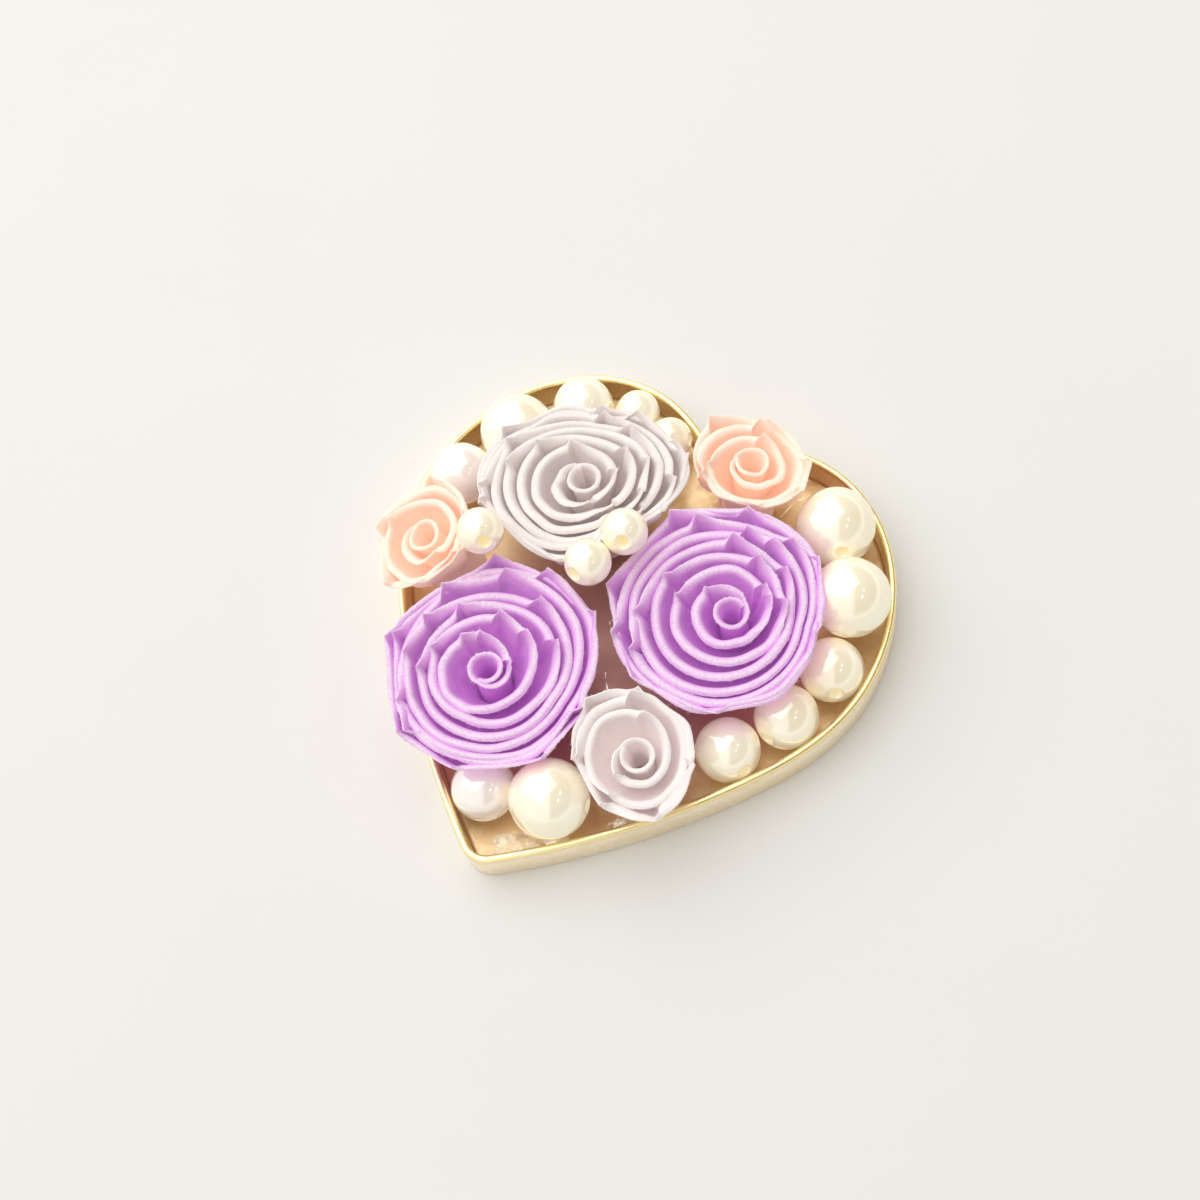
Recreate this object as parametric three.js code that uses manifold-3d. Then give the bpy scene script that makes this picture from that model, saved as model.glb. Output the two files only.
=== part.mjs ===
// Heart tray ornament with quilled paper roses and drilled pearl beads.
// Millimetres and degrees. The origin is the centre of the tray's back face, +Z is up through
// the tray, +Y points to the notch of the heart and -Y to its tip.
import * as THREE from 'three';
import Module from 'manifold-3d';
import { mergeVertices } from 'three/addons/utils/BufferGeometryUtils.js';

// Tray
const TRAY_WIDTH = 33.2;
const TRAY_LENGTH = 33.9;
const TRAY_HEIGHT = 3.0;
const TRAY_WALL = 0.5;
const TRAY_BASE = 0.5;
const TIP_RADIUS = 1.8;
const NOTCH_DEPTH = 2.5;
const LOBE_TOP_X = 6.2;
const WIDEST_BELOW_LOBES = 12.4;
const SIDE_END_INSET = 3.6;
const SIDE_BOW = 9;

// Leads of the tray's curves, as shares of their runs
const QUARTER_LEAD = 0.5523;
const SIDE_LEAD = 0.43;
const LOBE_LEAD = 0.4;
const NOTCH_LEAD = 0.26;

// Paper strips
const PAPER = 0.25;
const COIL_GAP = 0.06;
const LIP_WIDTH = 0.45;
const LIP_DROP = 0.12;
const CORE_FOOT_RADIUS = 0.55;
const CORE_RADIUS = 1.0;
const CORE_TURNS = 1;
const OUTLINE_TURNS = 0.5;
const RISE_TURNS = 2;
const FLARE_START = 0.15;
const RIM_CLEARANCE = 0.3;
const PETAL_STEP = 0.3;
const PETAL_RISE = 0.4;
const PETAL_SAG = 0.04;
const PETAL_OVERLAP = 0.12;
const MID_PETAL = 0.5;
const CORNER_TWIST = 14;
const OPENING_POWER = 0.9;

// Roses
const LARGE_ROSE_RADIUS = 7.5;
const SMALL_ROSE_RADIUS = 4.2;
const LARGE_ROSE_HEIGHT = 5.8;
const SMALL_ROSE_HEIGHT = 5.3;
const LARGE_ROSE_TURNS = 8;
const SMALL_ROSE_TURNS = 4;

// Beads
const LARGE_BEAD = 5.1;
const MIDDLE_BEAD = 4.1;
const SMALL_BEAD = 3.0;
const BEAD_BORE = 0.8;
const TOP_BEAD_RISE = 2;

// Clearances of the glue between the pieces
const GLUE_LINE = 0.1;
const BEAD_GAP = 0.1;
const PRESS_GAP = 0.25;
const PRESS_PITCH = 0.36;
const PRESSED_LIP = 0.3;

// Facets and tolerances
const CURVE_STEPS = 10;
const BEAD_ARC_STEPS = 7;
const BEAD_SIDES = 12;
const ROW_STEP = 0.1;
const SHARPEST_MITRE = 0.5;
const MERGE_TOLERANCE = 1e-4;

const halfWidth = TRAY_WIDTH / 2;
const halfLength = TRAY_LENGTH / 2;
const rad = THREE.MathUtils.degToRad;

const gold = new THREE.MeshStandardMaterial({ color: 0xd9b05c, roughness: 0.25, metalness: 1 });
const purplePaper = new THREE.MeshStandardMaterial({ color: 0xb687e0, roughness: 0.9, metalness: 0 });
const greyPaper = new THREE.MeshStandardMaterial({ color: 0xd2cad3, roughness: 0.9, metalness: 0 });
const whitePaper = new THREE.MeshStandardMaterial({ color: 0xe4dfe2, roughness: 0.9, metalness: 0 });
const pinkPaper = new THREE.MeshStandardMaterial({ color: 0xf4bfa8, roughness: 0.9, metalness: 0 });
const pearl = new THREE.MeshStandardMaterial({ color: 0xf3ead6, roughness: 0.2, metalness: 0 });

// Roses: seat in shares of the tray's half width and half length, lean of the axis and the
// direction it leans to, and the free outline's corners as angle and share of the radius.
const ROSES = [
  {
    name: 'rose_purple_left', paper: purplePaper, height: LARGE_ROSE_HEIGHT, turns: LARGE_ROSE_TURNS,
    radius: LARGE_ROSE_RADIUS, seat: [-0.271, -0.388], lean: 0, leanTo: 0,
    corners: [[-170, 0.93], [-113, 0.92], [-77, 0.91], [-31, 0.99], [2, 0.92], [55, 1.11], [116, 1.07]],
  },
  {
    name: 'rose_purple_right', paper: purplePaper, height: LARGE_ROSE_HEIGHT, turns: LARGE_ROSE_TURNS,
    radius: LARGE_ROSE_RADIUS, seat: [0.445, 0.207], lean: 0, leanTo: 0,
    corners: [[-166, 1.13], [-117, 1.09], [-70, 0.99], [15, 0.75], [60, 0.91], [109, 1], [147, 1.11]],
  },
  {
    name: 'rose_grey', paper: greyPaper, height: LARGE_ROSE_HEIGHT, turns: LARGE_ROSE_TURNS,
    radius: LARGE_ROSE_RADIUS, seat: [-0.303, 0.418], lean: 5, leanTo: 135,
    corners: [[-140, 1.01], [-75, 0.91], [-43, 0.69], [-2, 0.92], [39, 1], [107, 0.72], [172, 1.03]],
  },
  {
    name: 'rose_white', paper: whitePaper, height: SMALL_ROSE_HEIGHT, turns: SMALL_ROSE_TURNS,
    radius: SMALL_ROSE_RADIUS, seat: [0.379, -0.408], lean: 5, leanTo: -45,
    corners: [[-149, 0.95], [-97, 0.93], [-46, 1.07], [16, 0.86], [117, 1.07], [160, 1.19]],
  },
  {
    name: 'rose_pink_notch', paper: pinkPaper, height: SMALL_ROSE_HEIGHT, turns: SMALL_ROSE_TURNS,
    radius: SMALL_ROSE_RADIUS, seat: [0.21, 0.736], lean: 10, leanTo: 80,
    corners: [[-132, 0.95], [-55, 1], [-11, 0.98], [25, 0.9], [99, 0.83], [159, 1]],
  },
  {
    name: 'rose_pink_left', paper: pinkPaper, height: SMALL_ROSE_HEIGHT, turns: SMALL_ROSE_TURNS,
    radius: SMALL_ROSE_RADIUS, seat: [-0.669, -0.004], lean: 20, leanTo: 195,
    corners: [[-170, 0.88], [-96, 0.95], [-57, 1], [-3, 1.1], [42, 0.95], [113, 1.02]],
  },
];

// Rows of beads that stand against the wall: the first bead's direction seen from the tray's
// middle, the sense in which the row goes on, and its beads with their diameter, the azimuth
// and elevation of their bore, and how far glue lifts them off the floor.
const BEAD_ROWS = [
  {
    start: -18, sense: 1, name: 'pearl_right',
    beads: [
      [MIDDLE_BEAD, -28, 15, 0], [MIDDLE_BEAD, -100, 8, 0], [MIDDLE_BEAD, -55, 19, 0],
      [LARGE_BEAD, 100, 10, 1.2], [LARGE_BEAD, -53, 23, 0.8],
    ],
  },
  {
    start: -77.5, sense: -1, name: 'pearl_tip',
    beads: [[LARGE_BEAD, 15, 5, 0.8], [MIDDLE_BEAD, 160, 12, 0]],
  },
  {
    start: 102, sense: 1, name: 'pearl_left',
    beads: [
      [SMALL_BEAD, 20, 10, 0.9], [SMALL_BEAD, 170, 5, 0.75], [MIDDLE_BEAD, 15, 8, 0.5],
      [LARGE_BEAD, 60, 5, 0.4], [MIDDLE_BEAD, 95, 12, 1],
    ],
  },
];

// Beads that sit on top between the roses: place in shares of the tray's half width and half
// length, and the azimuth and elevation of their bore.
const TOP_BEADS = [
  { place: [-0.537, 0.045], bore: [-41, 31] },
  { place: [-0.102, 0.113], bore: [-100, 20] },
  { place: [-0.04, 0.28], bore: [-62, 37] },
];

// Tray: heart outline, its inner line and the hollow

function rightHalfOutline() {
  const diagonal = Math.PI / 4;
  const bow = rad(SIDE_BOW);
  const facing = (angle) => new THREE.Vector2(Math.cos(angle), Math.sin(angle));
  const tipCentre = new THREE.Vector2(0, TIP_RADIUS - halfLength);
  const tipEnd = facing(-diagonal - bow).multiplyScalar(TIP_RADIUS).add(tipCentre);
  const sideRun = halfWidth - SIDE_END_INSET - tipEnd.x;
  const sideEnd = new THREE.Vector2(tipEnd.x + sideRun, tipEnd.y + sideRun);
  const widest = new THREE.Vector2(halfWidth, halfLength - WIDEST_BELOW_LOBES);
  const lobe = new THREE.Vector2(LOBE_TOP_X, halfLength);
  const notch = new THREE.Vector2(0, halfLength - NOTCH_DEPTH);
  const path = new THREE.Path();
  path.absarc(tipCentre.x, tipCentre.y, TIP_RADIUS, -Math.PI / 2, -diagonal - bow, false);
  const third = sideRun * Math.SQRT2 / 3;
  const leaving = facing(diagonal - bow).multiplyScalar(third).add(tipEnd);
  const arriving = facing(diagonal + bow).multiplyScalar(-third).add(sideEnd);
  path.bezierCurveTo(leaving.x, leaving.y, arriving.x, arriving.y, sideEnd.x, sideEnd.y);
  const turning = facing(diagonal + bow).multiplyScalar(SIDE_END_INSET * Math.SQRT1_2).add(sideEnd);
  path.bezierCurveTo(
    turning.x, turning.y,
    widest.x, widest.y - (widest.y - sideEnd.y) * SIDE_LEAD,
    widest.x, widest.y,
  );
  path.bezierCurveTo(
    widest.x, widest.y + (lobe.y - widest.y) * QUARTER_LEAD,
    lobe.x + (widest.x - lobe.x) * QUARTER_LEAD, lobe.y,
    lobe.x, lobe.y,
  );
  path.bezierCurveTo(
    lobe.x * (1 - LOBE_LEAD), lobe.y,
    lobe.x * NOTCH_LEAD, notch.y + NOTCH_DEPTH / 2,
    notch.x, notch.y,
  );
  return path.getPoints(CURVE_STEPS);
}

function heartOutline(inset) {
  const right = rightHalfOutline();
  const left = right.slice(1, -1).reverse().map((p) => new THREE.Vector2(-p.x, p.y));
  const line = [...right, ...left];
  return line.map((point, i) => {
    const before = line[(i + line.length - 1) % line.length];
    const after = line[(i + 1) % line.length];
    const inA = point.clone().sub(before).normalize();
    const inB = after.clone().sub(point).normalize();
    const normal = inA.clone().add(inB).normalize();
    const mitre = inset / Math.max(normal.dot(inA), SHARPEST_MITRE);
    return new THREE.Vector2(point.x - normal.y * mitre, point.y + normal.x * mitre);
  });
}

function plate(outline, low, high) {
  const walls = { depth: high - low, bevelEnabled: false };
  const geometry = new THREE.ExtrudeGeometry(new THREE.Shape(outline), walls);
  geometry.translate(0, 0, low);
  return geometry;
}

const wasm = await Module();
wasm.setup();

function solid(geometry) {
  const bare = geometry.clone();
  bare.deleteAttribute('normal');
  bare.deleteAttribute('uv');
  const merged = mergeVertices(bare, MERGE_TOLERANCE);
  return new wasm.Manifold(new wasm.Mesh({
    numProp: 3,
    vertProperties: new Float32Array(merged.attributes.position.array),
    triVerts: new Uint32Array(merged.index.array),
  }));
}

function trayGeometry() {
  const block = solid(plate(heartOutline(0), 0, TRAY_HEIGHT));
  const hollow = solid(plate(heartOutline(TRAY_WALL), TRAY_BASE, TRAY_HEIGHT + TRAY_WALL));
  const mesh = block.subtract(hollow).getMesh();
  const geometry = new THREE.BufferGeometry();
  geometry.setAttribute('position', new THREE.BufferAttribute(new Float32Array(mesh.vertProperties), 3));
  geometry.setIndex(new THREE.BufferAttribute(new Uint32Array(mesh.triVerts), 1));
  geometry.computeVertexNormals();
  return geometry;
}

// Beads

function onInsetLine(inset, direction) {
  const line = heartOutline(inset);
  const ray = new THREE.Vector2(Math.cos(rad(direction)), Math.sin(rad(direction)));
  let reach = Infinity;
  line.forEach((a, i) => {
    const b = line[(i + 1) % line.length];
    const edge = b.clone().sub(a);
    const slope = ray.cross(edge);
    const along = a.cross(edge) / slope;
    const share = a.cross(ray) / slope;
    if (along > 0 && share >= 0 && share <= 1) reach = Math.min(reach, along);
  });
  return ray.multiplyScalar(reach);
}

function wallBeads() {
  const beads = [];
  for (const row of BEAD_ROWS) {
    let direction = row.start;
    let last = null;
    row.beads.forEach(([diameter, azimuth, elevation, lift], i) => {
      const height = TRAY_BASE + GLUE_LINE + diameter / 2 + lift;
      const aboveRim = Math.max(0, height - TRAY_HEIGHT);
      const inset = TRAY_WALL + Math.sqrt((BEAD_GAP + diameter / 2) ** 2 - aboveRim ** 2);
      const centre = new THREE.Vector3();
      const place = () => {
        const { x, y } = onInsetLine(inset, direction);
        centre.set(x, y, height);
      };
      place();
      while (last && centre.distanceTo(last.centre) < (diameter + last.diameter) / 2 + BEAD_GAP) {
        direction += row.sense * ROW_STEP;
        place();
      }
      last = { name: `${row.name}_${i + 1}`, diameter, bore: [azimuth, elevation], centre };
      beads.push(last);
    });
  }
  return beads;
}

function topBeads() {
  const height = TRAY_BASE + LARGE_ROSE_HEIGHT + TOP_BEAD_RISE;
  return TOP_BEADS.map(({ place, bore }, i) => ({
    name: `pearl_top_${i + 1}`, diameter: SMALL_BEAD, bore,
    centre: new THREE.Vector3(place[0] * halfWidth, place[1] * halfLength, height),
  }));
}

function beadGeometry(diameter) {
  const radius = diameter / 2;
  const bore = BEAD_BORE / 2;
  const first = Math.asin(bore / radius);
  const profile = [];
  for (let i = 0; i <= BEAD_ARC_STEPS; i += 1) {
    const angle = first + (Math.PI - 2 * first) * (i / BEAD_ARC_STEPS);
    profile.push(new THREE.Vector2(radius * Math.sin(angle), -radius * Math.cos(angle)));
  }
  profile.push(profile[0].clone());
  return new THREE.LatheGeometry(profile, BEAD_SIDES);
}

function beadMesh({ name, diameter, bore, centre }) {
  const mesh = new THREE.Mesh(beadGeometry(diameter), pearl);
  const [azimuth, elevation] = bore.map(rad);
  const axis = new THREE.Vector3(
    Math.cos(elevation) * Math.cos(azimuth), Math.cos(elevation) * Math.sin(azimuth), Math.sin(elevation),
  );
  mesh.quaternion.setFromUnitVectors(new THREE.Vector3(0, 1, 0), axis);
  mesh.position.copy(centre);
  mesh.name = name;
  return mesh;
}

// Roses

const waistHeight = TRAY_HEIGHT - TRAY_BASE + RIM_CLEARANCE;

function footRadius(turn) {
  return CORE_FOOT_RADIUS + (PAPER + COIL_GAP) * turn;
}

function roseGroup(rose) {
  const group = new THREE.Group();
  const direction = rad(rose.leanTo);
  const hinge = new THREE.Vector3(-Math.sin(direction), Math.cos(direction), 0);
  group.quaternion.setFromAxisAngle(hinge, rad(rose.lean));
  const lift = (footRadius(rose.turns) + PAPER) * Math.sin(rad(rose.lean));
  group.position.set(rose.seat[0] * halfWidth, rose.seat[1] * halfLength, TRAY_BASE + GLUE_LINE + lift);
  group.updateMatrixWorld();
  return group;
}

function freeRadius(rose, angle) {
  const { corners } = rose;
  const turn = (a) => THREE.MathUtils.euclideanModulo(a, 360);
  const i = corners.findIndex(([from], k) => {
    const to = corners[(k + 1) % corners.length][0];
    return turn(angle - from) < turn(to - from);
  });
  const [from, here] = corners[i];
  const [to, next] = corners[(i + 1) % corners.length];
  const share = turn(angle - from) / turn(to - from);
  return rose.radius * (here + (next - here) * share) * (1 - PETAL_SAG * 4 * share * (1 - share));
}

// Share of the way from foot to lip that the wall has flared out at a height.
function flareShare(rose, z) {
  if (z <= waistHeight) return FLARE_START * z / waistHeight;
  return FLARE_START + (1 - FLARE_START) * (z - waistHeight) / (rose.height - waistHeight);
}

// The widest lip in one direction that still clears every bead and every other rose.
function widestLip(rose, angle, beads, roses) {
  const foot = footRadius(rose.turns);
  const facing = new THREE.Vector2(Math.cos(rad(angle)), Math.sin(rad(angle)));
  let widest = Infinity;
  for (const bead of beads) {
    const centre = rose.group.worldToLocal(bead.centre.clone());
    const ahead = facing.x * centre.x + facing.y * centre.y;
    const aside = facing.x * centre.y - facing.y * centre.x;
    const reach = bead.diameter / 2 + PRESS_GAP;
    for (let z = PAPER; z <= rose.height + PETAL_RISE; z += PAPER) {
      const ring = reach ** 2 - (z - centre.z) ** 2 - aside ** 2;
      if (ahead > 0 && ring > 0) {
        const limit = ahead - Math.sqrt(ring);
        widest = Math.min(widest, foot + (limit - foot) / flareShare(rose, Math.min(z, rose.height)));
      }
    }
  }
  for (const other of roses.filter((candidate) => candidate !== rose)) {
    const there = rose.group.worldToLocal(other.top.clone());
    const here = other.group.worldToLocal(rose.top.clone());
    const apart = Math.hypot(there.x, there.y);
    const towards = THREE.MathUtils.radToDeg(Math.atan2(there.y, there.x));
    const back = THREE.MathUtils.radToDeg(Math.atan2(here.y, here.x));
    const middle = (apart + freeRadius(rose, towards) - freeRadius(other, back) - PRESS_GAP) / 2;
    const across = Math.cos(rad(angle - towards));
    if (across > 0) widest = Math.min(widest, middle / across);
  }
  return widest;
}

// One section of the strip: foot, waist and lip, each with its outer and inner point.
function stripSection(rose, limit, petal, share) {
  const count = rose.corners.length;
  const turn = (petal + share) / count;
  const from = rose.corners[petal % count][0];
  const to = rose.corners[(petal + 1) % count][0];
  const span = THREE.MathUtils.euclideanModulo(to - from, 360);
  const angle = from + span * share + CORNER_TWIST * (turn - rose.turns);
  const fullTurns = rose.turns - CORE_TURNS - OUTLINE_TURNS;
  const opened = Math.min(1, Math.max(0, turn - CORE_TURNS) / fullTurns);
  const tube = CORE_RADIUS + (LIP_WIDTH + COIL_GAP) * Math.min(turn, CORE_TURNS);
  const tilt = (MID_PETAL - share) * Math.min(1, turn / RISE_TURNS);
  const open = tube + (freeRadius(rose, angle) - tube) * opened ** OPENING_POWER + PETAL_STEP * tilt;
  const pressed = limit(angle) - (rose.turns - turn) * PRESS_PITCH;
  const lip = Math.min(open, pressed);
  const lipWidth = pressed < open ? PRESSED_LIP : LIP_WIDTH;
  const foot = footRadius(turn);
  const waist = foot + (lip - lipWidth / 2 - foot) * FLARE_START;
  const lipZ = rose.height + PETAL_RISE * tilt;
  const cos = Math.cos(rad(angle));
  const sin = Math.sin(rad(angle));
  const at = (radius, z) => new THREE.Vector3(radius * cos, radius * sin, z);
  return [
    at(foot + PAPER / 2, 0),
    at(waist + PAPER / 2, waistHeight),
    at(lip, lipZ - LIP_DROP),
    at(lip - lipWidth, lipZ),
    at(waist - PAPER / 2, waistHeight),
    at(foot - PAPER / 2, 0),
  ];
}

function roseGeometry(rose, limit) {
  const sections = [];
  const petals = rose.turns * rose.corners.length;
  for (let petal = 0; petal < petals; petal += 1) {
    for (const share of [0, MID_PETAL, 1 - PETAL_OVERLAP]) {
      sections.push(stripSection(rose, limit, petal, share));
    }
  }
  const size = sections[0].length;
  const index = [];
  for (let i = 0; i + 1 < sections.length; i += 1) {
    for (let k = 0; k < size; k += 1) {
      const a = i * size + k;
      const b = i * size + (k + 1) % size;
      index.push(a, a + size, b, b, a + size, b + size);
    }
  }
  const last = (sections.length - 1) * size;
  for (const [start, flip] of [[0, false], [last, true]]) {
    for (const [a, b, c, d] of [[0, 1, 4, 5], [1, 2, 3, 4]]) {
      const quad = [a, b, c, a, c, d].map((k) => start + k);
      index.push(...(flip ? quad.reverse() : quad));
    }
  }
  const geometry = new THREE.BufferGeometry();
  geometry.setAttribute('position', new THREE.Float32BufferAttribute(
    sections.flat().flatMap((p) => [p.x, p.y, p.z]), 3,
  ));
  geometry.setIndex(index);
  geometry.computeVertexNormals();
  return geometry;
}

// The whole ornament

const ornament = new THREE.Group();
const tray = new THREE.Mesh(trayGeometry(), gold);
tray.name = 'heart_tray';
ornament.add(tray);

const beads = [...wallBeads(), ...topBeads()];
ornament.add(...beads.map(beadMesh));

for (const rose of ROSES) {
  rose.group = roseGroup(rose);
  rose.top = rose.group.localToWorld(new THREE.Vector3(0, 0, rose.height));
}
for (const rose of ROSES) {
  const limit = (angle) => widestLip(rose, angle, beads, ROSES);
  const mesh = new THREE.Mesh(roseGeometry(rose, limit), rose.paper);
  mesh.name = rose.name;
  rose.group.add(mesh);
  ornament.add(rose.group);
}

export default ornament;
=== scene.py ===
# %% [markdown]
# A heart tray of quilled paper roses.
# The real thing is a gold tray about 33 mm across. Six roses, each rolled from one folded paper
# strip, and fifteen drilled pearls are glued into it. The solids of all these pieces come from
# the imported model. We could model freely and scale the result to fit, but then looks and solids
# would drift apart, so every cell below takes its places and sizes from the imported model.

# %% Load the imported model
import math

import bpy
import numpy as np
from mathutils import Matrix, Vector


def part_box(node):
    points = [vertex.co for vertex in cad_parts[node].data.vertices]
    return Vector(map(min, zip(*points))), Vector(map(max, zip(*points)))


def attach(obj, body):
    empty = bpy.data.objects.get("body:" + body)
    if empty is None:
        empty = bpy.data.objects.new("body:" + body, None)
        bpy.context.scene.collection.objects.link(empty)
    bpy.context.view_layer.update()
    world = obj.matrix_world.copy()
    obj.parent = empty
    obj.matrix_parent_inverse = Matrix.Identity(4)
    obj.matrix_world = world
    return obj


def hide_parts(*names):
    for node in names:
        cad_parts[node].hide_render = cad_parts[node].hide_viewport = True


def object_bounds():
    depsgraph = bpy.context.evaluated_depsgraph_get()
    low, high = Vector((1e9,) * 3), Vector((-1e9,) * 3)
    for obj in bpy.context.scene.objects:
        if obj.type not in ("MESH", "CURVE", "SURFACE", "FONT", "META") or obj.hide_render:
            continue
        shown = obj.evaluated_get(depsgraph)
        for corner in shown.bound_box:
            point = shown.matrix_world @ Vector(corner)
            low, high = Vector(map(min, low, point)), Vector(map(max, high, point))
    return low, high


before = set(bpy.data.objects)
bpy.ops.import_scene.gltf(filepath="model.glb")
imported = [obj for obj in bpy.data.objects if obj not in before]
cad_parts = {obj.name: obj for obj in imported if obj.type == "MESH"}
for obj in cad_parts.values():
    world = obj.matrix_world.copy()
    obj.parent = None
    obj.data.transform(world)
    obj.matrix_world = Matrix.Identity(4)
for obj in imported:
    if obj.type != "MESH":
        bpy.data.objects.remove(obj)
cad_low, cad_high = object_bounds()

MM = 0.001
cad_size = [round(side / MM, 1) for side in cad_high - cad_low]
print("nodes:", len(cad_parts), "size in mm:", cad_size)

# %% [markdown]
# The camera stands where the photographer stood.
# The photo looks down on the tray from over its tip, with the picture turned a little. Blender
# could aim a camera with a Track To constraint, but that keeps the horizon level. Here the look
# and up directions are written down, and the camera's turn is built from them.

# %% Camera
CAMERA_PLACE = Vector((36.51, -36.22, 121.34)) * MM
CAMERA_LOOK = Vector((-0.2921, 0.2919, -0.9108)).normalized()
CAMERA_UP = Vector((-0.4083, 0.8231, 0.3947)).normalized()
CAMERA_LENS = 60.49
CAMERA_SENSOR = 36.0
NEAREST_SEEN = 5 * MM

scene = bpy.context.scene
scene.view_settings.view_transform = "Standard"
camera_right = CAMERA_LOOK.cross(CAMERA_UP).normalized()


def link(thing):
    scene.collection.objects.link(thing)
    return thing


def place_camera():
    data = bpy.data.cameras.new("camera")
    data.lens = CAMERA_LENS
    data.sensor_width = CAMERA_SENSOR
    data.clip_start = NEAREST_SEEN
    camera = link(bpy.data.objects.new("camera", data))
    turn = Matrix((camera_right, camera_right.cross(CAMERA_LOOK), -CAMERA_LOOK)).transposed()
    camera.matrix_world = Matrix.Translation(CAMERA_PLACE) @ turn.to_4x4()
    scene.camera = camera
    return camera


camera = place_camera()
print("camera is", round(camera.location.length / MM), "mm from the tray's middle")

# %% [markdown]
# Small helpers keep the materials short.
# A shader is a graph of nodes. One helper adds a node with its settings, one joins two sockets,
# and one starts a material with a Principled BSDF whose constant values are set on its sockets.
# The rest spare us from typing the same few nodes in every material. Typed out each time, the
# graphs would hide what they are for.

# %% Helpers for shader graphs
# The Mix node has a set of sockets for each kind of value. These are its sockets for colours.
MIX_FIRST, MIX_SECOND, MIX_RESULT = 6, 7, 2


def srgb(red, green, blue):
    """A colour as picture programs count it, 0 to 255, as the light that Blender mixes."""
    shares = np.array((red, green, blue)) / 255
    light = np.where(shares <= 0.04045, shares / 12.92, ((shares + 0.055) / 1.055) ** 2.4)
    return (*light.tolist(), 1.0)


def add_node(tree, kind, inputs=None, **settings):
    node = tree.nodes.new(kind)
    for name, value in settings.items():
        setattr(node, name, value)
    for name, value in (inputs or {}).items():
        node.inputs[name].default_value = value
    return node


def join(tree, start, end):
    tree.links.new(start, end)


def start_material(name, **values):
    material = bpy.data.materials.new(name)
    material.use_nodes = True
    tree = material.node_tree
    shader = tree.nodes["Principled BSDF"]
    for socket, value in values.items():
        shader.inputs[socket.replace("_", " ")].default_value = value
    return material, tree, shader


def feed(tree, shader, **sources):
    """Joins each source to the shader's socket of that name."""
    for socket, source in sources.items():
        join(tree, source, shader.inputs[socket.replace("_", " ")])


def object_place(tree):
    return add_node(tree, "ShaderNodeTexCoord").outputs["Object"]


def combine(tree, operation, *values, **settings):
    node = add_node(tree, "ShaderNodeMath", operation=operation, **settings)
    for value, socket in zip(values, node.inputs):
        join(tree, value, socket)
    return node.outputs["Value"]


def noise(tree, place, scale, detail=3.0, roughness=0.55):
    inputs = {"Scale": scale, "Detail": detail, "Roughness": roughness}
    texture = add_node(tree, "ShaderNodeTexNoise", inputs)
    join(tree, place, texture.inputs["Vector"])
    return texture.outputs["Fac"]


def remap(tree, value, low, high, to_low=0.0, to_high=1.0):
    inputs = {"From Min": low, "From Max": high, "To Min": to_low, "To Max": to_high}
    node = add_node(tree, "ShaderNodeMapRange", inputs)
    join(tree, value, node.inputs["Value"])
    return node.outputs["Result"]


def mix_colours(tree, share, first, second):
    """A mix of two colours, each a socket or a plain colour."""
    node = add_node(tree, "ShaderNodeMix", data_type="RGBA")
    join(tree, share, node.inputs["Factor"])
    for socket, colour in ((MIX_FIRST, first), (MIX_SECOND, second)):
        if isinstance(colour, bpy.types.NodeSocket):
            join(tree, colour, node.inputs[socket])
        else:
            node.inputs[socket].default_value = colour
    return node.outputs[MIX_RESULT]


def bump(tree, shader, height, depth, strength):
    node = add_node(tree, "ShaderNodeBump", {"Distance": depth, "Strength": strength})
    join(tree, height, node.inputs["Height"])
    join(tree, node.outputs["Normal"], shader.inputs["Normal"])


print("helpers ready, for example a middle grey:", srgb(128, 128, 128))

# %% [markdown]
# A pale floor.
# The tray lies on white paper. A plane with one flat colour looks like a hole in the picture, so
# the floor gets faint patches and a fine paper grain. The relief of a material, here and below, is
# the depth and the strength of its bump. The floor is not attached to any body: it shows the tray's
# shadow and isn't part of the object.

# %% Floor
FLOOR_REACH = 1.5
FLOOR_DROP = 0.01 * MM
FLOOR_COLOUR = srgb(244, 244, 243)
FLOOR_PATCHES = srgb(241, 241, 240)
PATCH_SCALE = 60.0
GRAIN_SCALE = 5000.0
GRAIN_RELIEF = (0.01 * MM, 0.3)


def lay_floor():
    mesh = bpy.data.meshes.new("floor")
    corners = [(FLOOR_REACH * x, FLOOR_REACH * y, -FLOOR_DROP)
               for x, y in ((-1, -1), (1, -1), (1, 1), (-1, 1))]
    mesh.from_pydata(corners, [], [range(4)])
    material, tree, shader = start_material(
        "white_paper_floor", Roughness=0.75, Specular_IOR_Level=0.3)
    place = object_place(tree)
    patches = noise(tree, place, PATCH_SCALE)
    feed(tree, shader, Base_Color=mix_colours(tree, patches, FLOOR_PATCHES, FLOOR_COLOUR))
    bump(tree, shader, noise(tree, place, GRAIN_SCALE), *GRAIN_RELIEF)
    mesh.materials.append(material)
    floor = link(bpy.data.objects.new("floor", mesh))
    return floor


lay_floor()
print("floor", 2 * FLOOR_REACH, "m wide")

# %% [markdown]
# Soft light from a window.
# The light comes from a large window and from pale walls all round. A sun lamp would give hard
# shadows, so a wide area lamp stands for the window and a plain world for the walls. The pearls
# mirror the room, which is dim only over the viewer's right shoulder. Two narrow lamps there make
# the small glints that each pearl shows. Only mirrored rays see the dim part. The light that the
# walls send into the shadows is a little warm.

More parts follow.
